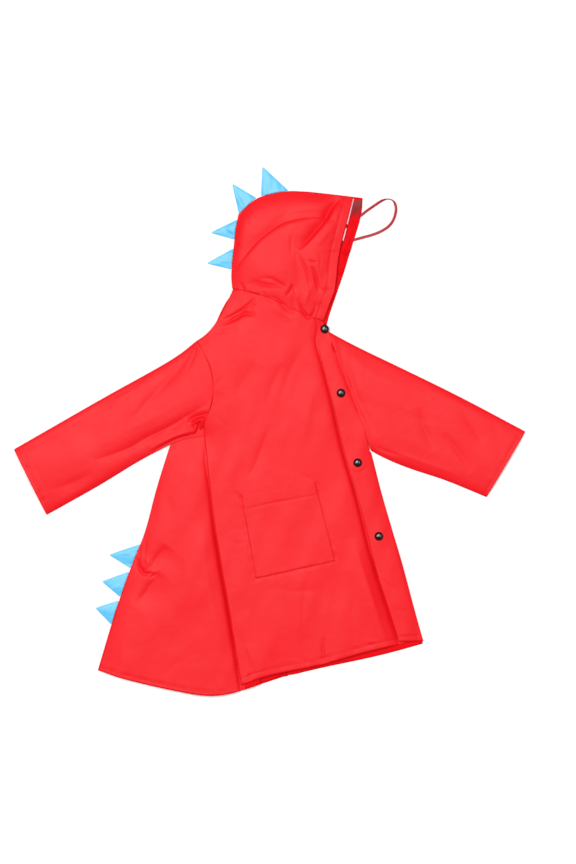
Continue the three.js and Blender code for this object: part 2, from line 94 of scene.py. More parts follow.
def smooth_route(points):
    """Evenly spaced points on a centripetal Catmull-Rom curve through the given ones, which are in
    millimetres, and the curve's length."""
    pts = [Vector(p).to_3d() * MM for p in points]
    pts = [pts[0] * 2 - pts[1], *pts, pts[-1] * 2 - pts[-2]]
    dense = []
    for a, b, c, d in zip(pts, pts[1:], pts[2:], pts[3:]):
        t0, t1 = 0.0, (b - a).length ** 0.5
        t2 = t1 + (c - b).length ** 0.5
        t3 = t2 + (d - c).length ** 0.5
        for i in range(CURVE_STEPS):
            t = t1 + (t2 - t1) * i / CURVE_STEPS
            ab = a.lerp(b, t / t1)
            bc = b.lerp(c, (t - t1) / (t2 - t1))
            cd = c.lerp(d, (t - t2) / (t3 - t2))
            near, far = ab.lerp(bc, t / t2), bc.lerp(cd, (t - t1) / (t3 - t1))
            dense.append(near.lerp(far, (t - t1) / (t2 - t1)))
    dense.append(pts[-2])
    dense = np.array(dense)
    run = np.concatenate([[0], np.cumsum(np.linalg.norm(np.diff(dense, axis=0), axis=1))])
    even = np.linspace(0, run[-1], max(3, round(run[-1] / SAMPLE) + 1))
    return np.stack([np.interp(even, run, dense[:, k]) for k in range(3)], axis=1), run[-1]


def link(name, mesh):
    piece = bpy.data.objects.new(name, mesh)
    bpy.context.scene.collection.objects.link(piece)
    return piece


def ribbon(name, route, twist, width, thickness):
    """A flat ribbon along a route, turned about it by twist(share) radians."""
    shape = bmesh.new()
    rings = []
    section = [(-1, -0.5), (-0.8, -1), (0.8, -1), (1, -0.5), (1, 0.5), (0.8, 1), (-0.8, 1), (-1, 0.5)]
    for i, (point, tangent) in enumerate(zip(route, np.gradient(route, axis=0))):
        along = Vector(tangent).normalized()
        level = along.cross(Vector((0, 0, 1))).normalized()
        turn = Matrix.Rotation(twist(i / (len(route) - 1)), 3, along)
        across, up = turn @ level, turn @ level.cross(along)
        ring = [
            Vector(point) + across * (a * width / 2) + up * (b * thickness / 2) for a, b in section
        ]
        lift = max(0, FLOOR_GAP - min(corner.z for corner in ring))
        rings.append([shape.verts.new(corner + Vector((0, 0, lift))) for corner in ring])
    for near, far in zip(rings, rings[1:]):
        for k in range(len(section)):
            shape.faces.new((near[k], near[k - 1], far[k - 1], far[k]))
    shape.faces.new(rings[0])
    shape.faces.new(reversed(rings[-1]))
    bmesh.ops.recalc_face_normals(shape, faces=shape.faces)
    mesh = bpy.data.meshes.new(name)
    shape.to_mesh(mesh)
    shape.free()
    mesh.shade_smooth()
    return link(name, mesh)


def loop_twist(share):
    stand = math.exp(-(((share - EDGE_ON) / EDGE_ON_RUN) ** 2))
    return EDGE_ON_TURN * stand + WAVER * math.sin(WAVER_RATE * share)


def material(name, colour, roughness):
    """A new Principled material, with its shader and a helper that adds nodes to it."""
    made = bpy.data.materials.new(name)
    made.use_nodes = True
    tree = made.node_tree
    shader = tree.nodes["Principled BSDF"]
    shader.inputs["Base Color"].default_value = (*colour, 1)
    shader.inputs["Roughness"].default_value = roughness

    def node(kind, values, **settings):
        new = tree.nodes.new("ShaderNode" + kind)
        for key, value in settings.items():
            setattr(new, key, value)
        for key, value in values.items():
            if isinstance(value, bpy.types.NodeSocket):
                tree.links.new(value, new.inputs[key])
            else:
                new.inputs[key].default_value = value
        return new

    def feed(socket, value):
        tree.links.new(value, shader.inputs[socket])

    return made, shader, node, feed


def ribbon_material():
    made, _, node, feed = material("ribbon", (0.46, 0.004, 0.014), 0.55)
    place = node("TexCoord", {}).outputs["Object"]
    weave = node(
        "TexWave", {"Vector": place, "Scale": 700.0, "Distortion": 1.5}, bands_direction="DIAGONAL"
    )
    ribs = node("Bump", {"Height": weave.outputs["Fac"], "Distance": 0.0001, "Strength": 0.6})
    feed("Normal", ribs.outputs["Normal"])
    return made


loop_route, loop_length = smooth_route([LOOP_ENDS[0], *LOOP_ROUTE, LOOP_ENDS[1]])
hood_loop = ribbon("hood_loop_ribbon", loop_route, loop_twist, RIBBON_WIDTH, RIBBON_THICKNESS)
hood_loop.data.materials.append(ribbon_material())
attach(hood_loop, "root")
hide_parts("hood_loop")


# Body: two backs and two fronts
# Polyester taffeta with a thin coating on its wrong side, cut in panels and sewn with plain seams. It lies
# as it was unfolded: soft drag lines from the neck, sharper lines at the seams, hems turned up and stitched.
SAME_PLACE = 0.02 * MM             # corners this close are one
NEARLY_FLAT, NEARLY_SQUARE = math.radians(25), math.radians(70)   # two triangles that make a quad
LEVELS = 3                         # times that a panel's sections are subdivided
CUT_EDGE, FOLDED_EDGE = 1.0, 0.9   # how sharp such an edge stays, from 0, round, to 1
EDGE_ANGLE = math.radians(60)      # faces that meet at more than this have an edge between them
UPPER_SIDE = 0.5                   # the least upward part of a normal on a panel's upper side
FOLD_POWER = 1.25                  # 1 gives a crease a sharp floor, 2 a round one
FADE_POWER = 0.8                   # the smaller, the sooner a crease is at its full height from its ends
SPREAD = 3                         # a crease or a hem has faded out this many widths from its line
SHARP, SHARP_REACH = 7, 7          # creases no wider than this get smaller faces, this far to each side
STEEPEST = 0.3                     # faces whose normals point up by less than this stay as they are

# A crease falls away from its line over `left` and `right` millimetres, seen along its route.
Crease = namedtuple("Crease", "left right height route")

UPPER_CREASES = [Crease(*row) for row in (
    # shoulder and neck, where the hood pulls on the back
    (2.5, 3.5, -3.0, [(-86, 201), (-60, 212), (-40, 226), (-25, 241)]),
    (6, 3, -4.6, [(-84, 192), (-60, 204), (-45, 212), (-24, 209)]),
    (4, 4, 1.6, [(-78, 203), (-55, 213), (-36, 222)]),
    (3, 3, -1.1, [(-36, 218), (-31, 227), (-22, 226)]),
    (2.5, 2.5, -0.7, [(-12, 240), (-18, 226), (-15, 212)]),
    (2.5, 2.5, -0.5, [(-7, 236), (-12, 216), (-9, 198)]),
    (5, 3, -1.2, [(4, 216), (20, 207), (35, 199), (50, 191)]),
    (5, 5, -1.2, [(-104, 177), (-84, 181), (-58, 186)]),
    (5, 5, -0.4, [(-50, 153), (-40, 144), (-26, 136)]),
    (5, 5, -0.3, [(-38, 184), (-30, 176), (-18, 174)]),
    # drag lines over the chest
    (17, 11, -2.2, [(70, 168), (47, 128), (28, 82), (10, 26)]),
    (10, 12, -1.0, [(64, 126), (52, 88), (42, 48)]),
    (15, 10, -1.8, [(24, 124), (6, 84), (-4, 44)]),
    (13, 6, -1.5, [(2, 14), (-12, -24), (-26, -60), (-40, -84)]),
    (15, 13, -1.7, [(-26, 126), (-45, 92), (-62, 62)]),
    (13, 13, 1.1, [(84, 92), (72, 40), (62, -20)]),
    (16, 12, 1.0, [(-36, 100), (-30, 40), (-52, -20)]),
    (6, 6, -0.6, [(-99, 76), (-90, 90), (-80, 98)]),
    (6, 5, -0.8, [(-97, 73), (-88, 66), (-78, 52)]),
    (4, 4, -0.4, [(-98, 34), (-86, 20), (-66, 6)]),
    # between the pocket and the hem
    (11, 8, -0.8, [(4, -277), (40, -285), (104, -283)]),
    (9, 9, 0.8, [(26, -312), (30, -350), (36, -404)]),
    (11, 11, 0.7, [(112, -262), (104, -320), (96, -372)]),
    (6, 6, 0.7, [(-44, -378), (-32, -404), (-16, -434)]),
    (7, 7, -0.8, [(-60, -352), (-44, -390), (-34, -432)]),
    (2.5, 2.5, -1.6, [(98, -370), (97, -392), (99, -416)]),
    (4, 4, 0.5, [(188, -332), (186, -356), (188, -382)]),
    (20, 20, -0.7, [(-56, -290), (-30, -330), (-22, -384)]),
    (7, 4, -0.8, [(70, -252), (62, -300), (60, -360)]),
    (6, 6, -0.5, [(142, -250), (150, -310), (150, -380)]),
    (2, 2, -1.1, [(-37, -430), (-35, -450)]),
    # the strip's own cross creases
    (2.5, 2.5, -0.4, [(132, 62), (144, 53), (160, 41)]),
    (2.5, 2.5, -0.4, [(120, 84), (112, 90), (102, 92)]),
    (3, 3, -0.7, [(150, -69), (164, -72), (178, -60)]),
    (2.5, 2.5, -0.4, [(168, -44), (180, -40), (186, -36)]),
    (2.5, 2.5, -0.5, [(200, -262), (212, -272), (228, -286)]),
    (3, 3, -0.4, [(208, -180), (216, -176), (222, -178)]),
    (4, 4, -0.4, [(226, -316), (238, -322), (252, -318)]),
    # the strip's hem
    (1.8, 1.8, -0.9, [(226, -367.7), (234, -367.3), (250, -366.6), (266, -366), (274, -365.7)]),
    # the pocket's stitched top, and its corners
    (1.8, 1.8, -0.7, [(-50, -140), (-45, -139), (0, -128), (44, -120), (90, -111), (94, -110)]),
    (3, 3, -0.7, [(-64, -109), (-56, -113), (-48, -122)]),
    (3, 3, -0.5, [(60, -78), (73, -83), (84, -94)]),
    (3, 3, -0.5, [(81, -72), (85, -86), (91, -106)]),
    (3, 3, -0.25, [(-66, -168), (-58, -174), (-48, -172)]),
    (3, 3, -0.25, [(-62, -196), (-54, -200), (-42, -196)]),
    # the left armhole, sunk between the strip and the sleeve
    (5, 5, -2.9, [
        (116, 172), (121, 142), (129, 114), (139, 92), (150, 62), (161, 38), (173, 14), (184, -14),
    ]),
    (4, 5, -1.7, [(130, 158), (140, 126), (146, 100), (152, 82)]),
    (2.5, 2.5, -2.9, [(115, 162), (117, 152), (121, 142)]),
    # the gather at the centre back, above the spikes
    (2.5, 3, -3.5, [(-236, -226), (-233, -244), (-223, -255), (-208, -252)]),
    (8, 18, -3.8, [(-213, -249), (-203, -229), (-184, -204)]),
    (4, 4, 1.6, [(-222, -226), (-218, -238), (-226, -246)]),
    (20, 8, -4.4, [(-190, -254), (-208, -268), (-223, -291), (-240, -311)]),
    (3, 3, -2.0, [(-197, -253), (-208, -258), (-218, -264)]),
    (3, 3, -0.8, [(-232, -200), (-233, -214), (-232, -228)]),
    (3, 3, -0.8, [(-222, -192), (-223, -210), (-224, -228)]),
    # soft waves in the back panel
    (8, 8, -0.7, [(-192, -442), (-172, -420), (-148, -402)]),
    (10, 10, -0.4, [(-186, -100), (-178, -136), (-172, -170)]),
    (14, 14, -0.4, [(-262, -396), (-230, -384), (-196, -372)]),
    (12, 12, 0.5, [(-150, -60), (-152, -180), (-150, -300)]),
    (9, 9, 0.4, [(-226, -340), (-200, -372), (-196, -430)]),
    # the hood's long arc, where it was folded in half, and the wedge at its front
    (11, 4, -3.4, [
        (-64, 288), (-50, 308), (-22, 342), (0, 360), (22, 374), (48, 382), (80, 386), (108, 385),
    ]),
    (14, 8, -1.7, [(0, 372), (40, 394), (84, 400), (118, 398)]),
    (9, 4, -7.7, [(99, 376), (106, 394), (114, 405), (128, 420)]),
    (3, 10, -7.4, [(114, 398), (98, 377), (84, 361), (74, 349), (65, 339), (54, 326)]),
    (9, 12, 1.9, [(118, 378), (100, 352), (88, 334)]),
    # the soft hollow in the middle of the hood and the lines that run down from it
    (13, 13, -2.2, [(52, 352), (48, 320), (54, 286), (60, 252)]),
    (3, 3, -0.8, [(40, 356), (40, 336), (39, 316)]),
    (4, 2.5, -1.7, [(48, 324), (60, 303), (68, 283), (74, 256)]),
    (3, 3, -3.0, [(76, 298), (82, 283), (86, 268), (89, 250)]),
    (2.5, 2.5, -1.2, [(70, 309), (78, 305), (88, 305)]),
    (3, 3, -0.7, [(86, 324), (92, 312), (91, 292)]),
    (6, 6, 1.1, [(72, 268), (70, 250), (64, 226)]),
    (5, 5, 1.1, [(50, 258), (52, 244), (58, 224)]),
    (6, 4, -2.6, [(-42, 264), (-24, 268), (-4, 263), (14, 262), (32, 260)]),
    (5, 5, -1.6, [(-18, 276), (4, 274), (20, 266), (34, 258)]),
    (9, 9, 0.8, [(-40, 250), (-20, 254), (2, 250)]),
    (3, 3, -1.1, [(-54, 270), (-47, 258), (-44, 246)]),
    (2.5, 2.5, -1.2, [(-2, 258), (-8, 252), (-7, 244), (2, 236), (14, 228)]),
    (4, 4, -2.2, [(-4, 244), (12, 239), (24, 229), (36, 218), (52, 216)]),
    (3, 3, -2.2, [(43, 266), (38, 253), (30, 243)]),
    (3, 3, -1.2, [(42, 262), (42, 238), (46, 208)]),
    (3, 3, -2.7, [(53, 242), (56, 226), (64, 213), (73, 206), (80, 214), (85, 232)]),
    (3, 3, -0.5, [(61, 264), (65, 256), (70, 246)]),
    (2.5, 2.5, -0.7, [(86, 258), (100, 255), (118, 255)]),
    (3, 3, -0.4, [(8, 304), (12, 290), (14, 274)]),
    (2.5, 2.5, -0.5, [(28, 286), (33, 276), (34, 262)]),
    (9, 9, -1.1, [(80, 236), (92, 224), (100, 206)]),
    (3, 3, -0.5, [(-39, 398), (-39, 378), (-34, 367), (-22, 362)]),
    (14, 10, 0.8, [(-54, 330), (-50, 360), (-36, 392)]),
    (3, 3, -0.5, [(104, 318), (110, 324), (120, 322)]),
    (3, 3, -0.5, [(121, 319), (124, 324), (130, 326)]),
)]
# Where a panel runs on beneath its neighbour's edge it falls away, and stays low on the covered side.
COVERED = 60
SIDE_SEAM = [
    (-34, -560), (-50, -458), (-58, -405), (-72, -319), (-88, -229), (-95, -186), (-106, -103), (-113, -50),
    (-114, -16),
]
STRIP_EDGE = [
    (84, 215), (89, 186), (86, 164), (96, 124), (108, 79), (117, 42), (123, 15), (135, -36), (155, -103),
    (170, -160), (187, -229), (215, -319), (243, -405), (262, -460),
]


def moved(route, sideways):
    return [(x + sideways, y) for x, y in route]


PANEL_CREASES = {node: [Crease(*row) for row in rows] for node, rows in {
    "back_right": (
        (4.5, COVERED, -4.4, SIDE_SEAM),
        (3, 3, -3.0, moved(SIDE_SEAM, -2)),
        (17, COVERED, -3.8, SIDE_SEAM),
        (14, 14, 1.6, [(-76, -470), (-84, -420), (-98, -340), (-112, -250), (-121, -160)]),
    ),
    "front_right": (
        (COVERED, 4.5, -4.0, STRIP_EDGE),
        (3, 3, -3.4, moved(STRIP_EDGE, -2)),
        (COVERED, 15, -2.6, STRIP_EDGE[9:]),   # deeper from the pocket down
        (11, 20, 4.4, [(150, -190), (172, -260), (194, -330), (216, -400)]),
    ),
}.items()}
STREAK_ANGLE = math.radians(70)    # the way the drag lines run in the body

# A row of stitches and the pulled line it makes: the panel, its edge from one end to the other, and how far
# in from the edge the line and the thread lie.
HemRow = namedtuple("HemRow", "node start end line thread")
HEM_ROWS = {name: HemRow(*row) for name, row in {
    "hem_back": ("back_right", (-300, -426), (-60, -462), 7, 7),
    "hem_front": ("front_right", (-44, -450), (226, -388), 11, 11),
    "hood_facing": ("hood_right", (108, 204), (150, 424), 15, 15),
    "cuff_right": ("sleeve_right", (-459, -31), (-400, -149), 7, 7),
    "cuff_left": ("sleeve_left", (461, 1), (391, -117), 7, 7),
    "pocket_left": ("pocket", (-50, -116), (-24, -263), -1.2, 2),
    "pocket_bottom": ("pocket", (-24, -263), (119, -231), -1.2, 2),
    "pocket_right": ("pocket", (119, -231), (83, -91), -1.2, 2),
}.items()}
HEM_GROOVE, HEM_GROOVE_WIDTH = -0.7 * MM, 1.8 * MM
HEM_PUCKER, HEM_PUCKER_WIDTH = 0.45 * MM, 6.0 * MM
HEM_PUCKER_WAVE = 7 * MM, 9 * MM   # length along the hem and width across it
HEM_SEED = 20

# panels that lie right side up from edge to edge, apart from the tuck
UPPER_PANELS = ("back_right", "front_right", "pocket", "hood_right")
SHADED_TUCK = -44 * MM                    # right of here the right back's upper face takes the inside colour: painted shade where it shows under the front's hem
LOWER_TOP, UPPER_FULL = 2.5 * MM, 6.0 * MM   # the upper layer's share of the rise goes from none to all here
LINING_LOW = 0.8 * MM              # faces that look down from above this height are the coat's inside
SEAM_REACH, SEAM_SHIFT = 6 * MM, 2.4 * MM    # how much of a border runs on beneath its neighbour, and how far
SEAM_MARGIN = 1.0 * MM             # points this far on the other side of the seam still go with it
SIDE_DROP, NECK_DROP = 0.1 * MM, 0.12 * MM   # how far such a border sinks
CORNER_REACH = 8 * MM              # how much of a panel's corner moves with it


def quads(node):
    """The CAD wall with its doubled corners merged and its triangles joined into quads."""
    shape = bmesh.new()
    shape.from_mesh(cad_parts[node].data)
    bmesh.ops.remove_doubles(shape, verts=shape.verts, dist=SAME_PLACE)
    bmesh.ops.join_triangles(
        shape, faces=shape.faces, angle_face_threshold=NEARLY_FLAT, angle_shape_threshold=NEARLY_SQUARE
    )
    shape.normal_update()
    return shape


def fine_mesh(node, levels=LEVELS, sharpness=FOLDED_EDGE):
    """The CAD wall as a finer mesh, curved between its sections, with its cut edges kept."""
    shape = quads(node)
    edge_crease = shape.edges.layers.float.new("crease_edge")
    corner_crease = shape.verts.layers.float.new("crease_vert")
    for edge in shape.edges:
        if edge.calc_face_angle(0) > EDGE_ANGLE:
            edge[edge_crease] = sharpness
    for vert in shape.verts:
        if len(vert.link_edges) == 3:
            vert[corner_crease] = sharpness
    coarse = bpy.data.meshes.new(node)
    shape.to_mesh(coarse)
    shape.free()
    piece = link(node + "_coarse", coarse)
    rounding = piece.modifiers.new("rounding", "SUBSURF")
    rounding.levels = rounding.render_levels = levels
    fine = bpy.data.meshes.new_from_object(piece.evaluated_get(bpy.context.evaluated_depsgraph_get()))
    bpy.data.objects.remove(piece)
    return fine


def outline_run(node, start, end, inset):
    """The panel's outer edge from one place to another, seen from above and set in from the edge."""
    shape = quads(node)
    chain = {}
    for face in shape.faces:
        if face.normal.z < UPPER_SIDE:
            continue
        for loop in face.loops:
            if sum(side.normal.z > UPPER_SIDE for side in loop.edge.link_faces) == 1:
                chain[loop.vert.index] = loop.link_loop_next.vert.index
    shape.verts.ensure_lookup_table()
    corner = Vector(start) * MM
    order = [min(chain, key=lambda i: (shape.verts[i].co.xy - corner).length)]
    while chain[order[-1]] != order[0] and len(order) <= len(chain):
        order.append(chain[order[-1]])
    edge = np.array([shape.verts[i].co[:2] for i in order]) / MM
    shape.free()
    first, last = 0, np.hypot(*(edge - end).T).argmin()
    count = len(edge)
    ahead, back = (last - first) % count, (first - last) % count
    step = 1 if ahead <= back else -1
    run = edge[[(first + step * k) % count for k in range(min(ahead, back) + 1)]]
    tangent = np.gradient(run, axis=0)
    tangent /= np.hypot(*tangent.T)[:, None]
    inward = np.stack([-tangent[:, 1], tangent[:, 0]], axis=1) * step
    return run + inward * inset


def beside(x, y, route, reach):
    """Which points lie within reach of a route, how far along it, and how far to its left."""
    near = np.flatnonzero(
        (x > route[:, 0].min() - reach) & (x < route[:, 0].max() + reach)
        & (y > route[:, 1].min() - reach) & (y < route[:, 1].max() + reach)
    )
    px, py = x[near, None] - route[:, 0], y[near, None] - route[:, 1]
    index = (px * px + py * py).argmin(axis=1)
    tangent = np.gradient(route[:, :2], axis=0)
    spacing = np.hypot(*tangent.T)[:, None]
    tangent = (tangent / spacing)[index]
    rows = np.arange(len(near))
    px, py = px[rows, index], py[rows, index]
    along = index + (px * tangent[:, 0] + py * tangent[:, 1]) / spacing[index, 0]
    left = tangent[:, 0] * py - tangent[:, 1] * px
    keep = (np.abs(left) < reach) & (along > -1) & (along < len(route))
    return near[keep], along[keep] / (len(route) - 1), left[keep]


def add_crease(rise, x, y, crease):
    """Raises or lowers the points beside one crease: most in the middle of its run, nothing at its ends."""
    route, _ = smooth_route(crease.route)
    near, share, left = beside(x, y, route, SPREAD * max(crease.left, crease.right) * MM)
    width = np.where(left > 0, crease.left, crease.right) * MM
    swell = np.sin(math.pi * np.clip(share, 0, 1)) ** FADE_POWER
    rise[near] += crease.height * MM * swell * np.exp(-((np.abs(left) / width) ** FOLD_POWER))


def ripple(x, y, long, short, angle, seed):
    """Uneven rise and fall between -1 and 1, in waves of the given length and width that run at an angle."""
    size = 64
    lattice = np.random.default_rng(seed).uniform(-1, 1, (size, size))
    u = (x * math.cos(angle) + y * math.sin(angle)) / long + size / 2
    v = (y * math.cos(angle) - x * math.sin(angle)) / short + size / 2
    i, j = np.floor(u).astype(int), np.floor(v).astype(int)
    s, t = u - i, v - j
    s, t = s * s * (3 - 2 * s), t * t * (3 - 2 * t)
    a, b = lattice[i % size, j % size], lattice[(i + 1) % size, j % size]
    c, d = lattice[i % size, (j + 1) % size], lattice[(i + 1) % size, (j + 1) % size]
    return (a + (b - a) * s) * (1 - t) + (c + (d - c) * s) * t


def refine(mesh, creases):
    """Halves the faces of the upper side that lie beside a sharp crease."""
    shape = bmesh.new()
    shape.from_mesh(mesh)
    centres = np.array([face.calc_center_median()[:2] for face in shape.faces])
    sharp = set()
    for crease in creases:
        if min(crease.left, crease.right) <= SHARP:
            route, _ = smooth_route(crease.route)
            sharp.update(beside(centres[:, 0], centres[:, 1], route, SHARP_REACH * MM)[0])
    faces = [face for face in shape.faces if face.index in sharp and face.normal.z > STEEPEST]
    edges = list({edge for face in faces for edge in face.edges})
    bmesh.ops.subdivide_edges(shape, edges=edges, cuts=1, use_grid_fill=True)
    bmesh.ops.triangulate(shape, faces=[face for face in shape.faces if len(face.verts) > 4])
    shape.to_mesh(mesh)
    shape.free()
    return mesh


def add_hem(rise, x, y, route, seed):
    """The stitched line of a hem: pulled in along the thread, puckered on both sides."""
    near, share, left = beside(x, y, route, SPREAD * HEM_PUCKER_WIDTH)
    along = share * (len(route) - 1) * SAMPLE
    rise[near] += HEM_GROOVE * np.exp(-((left / HEM_GROOVE_WIDTH) ** 2))
    pucker = HEM_PUCKER * ripple(along, left, *HEM_PUCKER_WAVE, 0, seed)
    rise[near] += pucker * np.exp(-((left / HEM_PUCKER_WIDTH) ** 2))


hem_routes = [
    smooth_route(outline_run(row.node, row.start, row.end, row.line))[0] for row in HEM_ROWS.values()
]

# Waves of uneven rise: height, length and width, the way they run, and a seed.
Wave = namedtuple("Wave", "height long short angle seed")
BODY_WAVES = [Wave(*row) for row in (
    (1.5, 140, 42, STREAK_ANGLE, 3),
    (0.6, 80, 21, STREAK_ANGLE, 5),
    (0.3, 34, 26, STREAK_ANGLE + 0.5, 8),
)]


def rise_of(points, waves, creases):
    """How far a piece's upper side rises over its plain form."""
    x, y = points[:, 0], points[:, 1]
    rise = sum(
        wave.height * MM * ripple(x, y, wave.long * MM, wave.short * MM, wave.angle, wave.seed)
        for wave in waves
    )
    for crease in creases:
        add_crease(rise, x, y, crease)
    for number, route in enumerate(hem_routes):
        add_hem(rise, x, y, route, HEM_SEED + number)
    return rise


def coated_cloth():
    """Red taffeta: a fine weave, small crinkles, and a satin gloss that the coating leaves uneven."""
    made, shader, node, feed = material("coated_cloth", (0.86, 0.008, 0.014), 0.48)
    place = node("TexCoord", {}).outputs["Object"]
    cloudy = node("TexNoise", {"Vector": place, "Scale": 9.0, "Detail": 4.0})
    tint = node("Mix", {
        "Factor": cloudy.outputs["Fac"], "A": (0.83, 0.006, 0.012, 1), "B": (0.89, 0.009, 0.016, 1),
    }, data_type="RGBA")
    feed("Base Color", tint.outputs["Result"])
    patchy = node("TexNoise", {"Vector": place, "Scale": 24.0, "Detail": 3.0})
    gloss = node("MapRange", {"Value": patchy.outputs["Fac"], "To Min": 0.40, "To Max": 0.56})
    feed("Roughness", gloss.outputs["Result"])
    warp = node("TexWave", {"Vector": place, "Scale": 600.0, "Distortion": 0.6}, bands_direction="X")
    weft = node("TexWave", {"Vector": place, "Scale": 600.0, "Distortion": 0.6}, bands_direction="Y")
    weave = node("Math", {0: warp.outputs["Fac"], 1: weft.outputs["Fac"]}, operation="MULTIPLY")
    crinkle = node("TexNoise", {"Vector": place, "Scale": 70.0, "Detail": 5.0, "Roughness": 0.55})
    crumple = node("Bump", {"Height": crinkle.outputs["Fac"], "Distance": 0.0012, "Strength": 0.3})
    grain = node("Bump", {
        "Height": weave.outputs[0], "Distance": 0.00004, "Strength": 0.5, "Normal": crumple.outputs["Normal"],
    })
    feed("Normal", grain.outputs["Normal"])
    shader.inputs["Specular IOR Level"].default_value = 0.175
    return made


def wrong_side_and_shade():
    """The cloth's inside: duller, since the coating takes up the gloss, and a deeper red that is partly
    painted shade for the coat's shaded inside.
    """
    made, shader, node, feed = material("coated_cloth_inside_and_shade", (0.80, 0.003, 0.007), 0.6)
    place = node("TexCoord", {}).outputs["Object"]
    crinkle = node("TexNoise", {"Vector": place, "Scale": 70.0, "Detail": 5.0, "Roughness": 0.55})
    crumple = node("Bump", {"Height": crinkle.outputs["Fac"], "Distance": 0.0012, "Strength": 0.3})
    feed("Normal", crumple.outputs["Normal"])
    shader.inputs["Specular IOR Level"].default_value = 0.04
    return made


# the second is the cloth's inside, its deeper red partly painted shade
red_cloth, red_inside_and_shade = coated_cloth(), wrong_side_and_shade()


def points_of(mesh):
    flat = np.empty(3 * len(mesh.vertices))
    mesh.vertices.foreach_get("co", flat)
    return flat.reshape(-1, 3)


def inside_and_shaded_faces(mesh, node):
    """1 for each face on the coat's inside: on top of a lower layer, or beneath an upper one; and for the
    right back's upper face right of the tuck line, where the inside colour is painted shade.
    """
    normals, centres = np.empty(3 * len(mesh.polygons)), np.empty(3 * len(mesh.polygons))
    mesh.polygons.foreach_get("normal", normals)
    mesh.polygons.foreach_get("center", centres)
    up, across, height = normals[2::3] > 0, centres[::3], centres[2::3]
    # the right back's faces right of the tuck line take the inside colour as painted shade
    lower = (
        (node == "hood_left") | (height < LOWER_TOP) & (node not in UPPER_PANELS)
        | (node == "back_right") & (across > SHADED_TUCK)
    )
    return np.where(up, lower, height > LINING_LOW).astype(int)


def lay_piece(name, node, mesh, points, look):
    """Puts the mesh's points in place and hands the piece over to stand for its CAD node."""
    points[:, 2] = np.maximum(points[:, 2], FLOOR_GAP)
    mesh.vertices.foreach_set("co", points.ravel())
    mesh.materials.clear()
    mesh.materials.append(look)
    if look is red_cloth:
        mesh.materials.append(red_inside_and_shade)
        mesh.polygons.foreach_set("material_index", inside_and_shaded_faces(mesh, node))
    mesh.shade_smooth()
    piece = link(name, mesh)
    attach(piece, "root")
    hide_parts(node)
    return piece


def tuck_under(points, route, drop, amount=1.0):
    """Runs a panel's border on beneath its neighbour: what is right of the seam moves left and down."""
    near, share, left = beside(points[:, 0], points[:, 1], route, SEAM_REACH)
    inside = left < SEAM_MARGIN
    near, left = near[inside], left[inside]
    index = np.clip(np.round(share[inside] * (len(route) - 1)).astype(int), 0, len(route) - 1)
    tangent = np.gradient(route[:, :2], axis=0)
    tangent = (tangent / np.hypot(*tangent.T)[:, None])[index]
    weight = np.clip(1 + left / SEAM_REACH, 0, 1) ** 2 * np.broadcast_to(amount, len(points))[near]
    points[near, 0] -= SEAM_SHIFT * weight * tangent[:, 1]
    points[near, 1] += SEAM_SHIFT * weight * tangent[:, 0]
    points[near, 2] -= drop * weight


def ease_corner(points, place, shift):
    """Moves a corner of a panel, so that no gap is left where three pieces meet. In millimetres."""
    near = np.exp(-((points[:, :2] - np.array(place) * MM) ** 2).sum(axis=1) / CORNER_REACH ** 2)
    points[:, :2] += near[:, None] * np.array(shift) * MM


def upper_share(points):
    """1 in the upper layer of a folded panel, 0 in its lower layer, and between them round the fold."""
    return np.clip((points[:, 2] - LOWER_TOP) / (UPPER_FULL - LOWER_TOP), 0, 1)


neck_seam = smooth_route(outline_run("hood_right", (98, 199), (-66, 258), 0)[::-1])[0]
side_seam = smooth_route(outline_run("back_left", (150, -40), (28, -440), 0))[0]
cloth = {}
for node in ("back_left", "back_right", "front_right"):
    creases = UPPER_CREASES + PANEL_CREASES.get(node, [])
    mesh = fine_mesh(node, sharpness=CUT_EDGE)
    if node != "back_left":
        refine(mesh, creases)
    points = points_of(mesh)
    if node == "back_left":
        tuck_under(points, side_seam, SIDE_DROP)
    else:
        tuck_under(points, neck_seam, NECK_DROP)
        points[:, 2] += rise_of(points, BODY_WAVES, creases)
    cloth[node] = lay_piece(node + "_cloth", node, mesh, points, red_cloth)

# The left front folds back on itself: its strip lies over the right front, the rest under it.
mesh = refine(fine_mesh("front_left", sharpness=CUT_EDGE), UPPER_CREASES)
points = points_of(mesh)
ease_corner(points, (33, -437), (-5, 0.5))
upper = upper_share(points)
points[:, 2] += rise_of(points, BODY_WAVES, UPPER_CREASES) * upper
cloth["front_left"] = lay_piece("front_left_cloth", "front_left", mesh, points, red_cloth)


# Pocket
# A patch of the same cloth on the right front: its top edge is turned in and stitched, its other edges are
# turned under and stitched down.
mesh = refine(fine_mesh("pocket"), UPPER_CREASES)
points = points_of(mesh)
points[:, 2] += rise_of(points, BODY_WAVES, UPPER_CREASES)
cloth["pocket"] = lay_piece("pocket_cloth", "pocket", mesh, points, red_cloth)


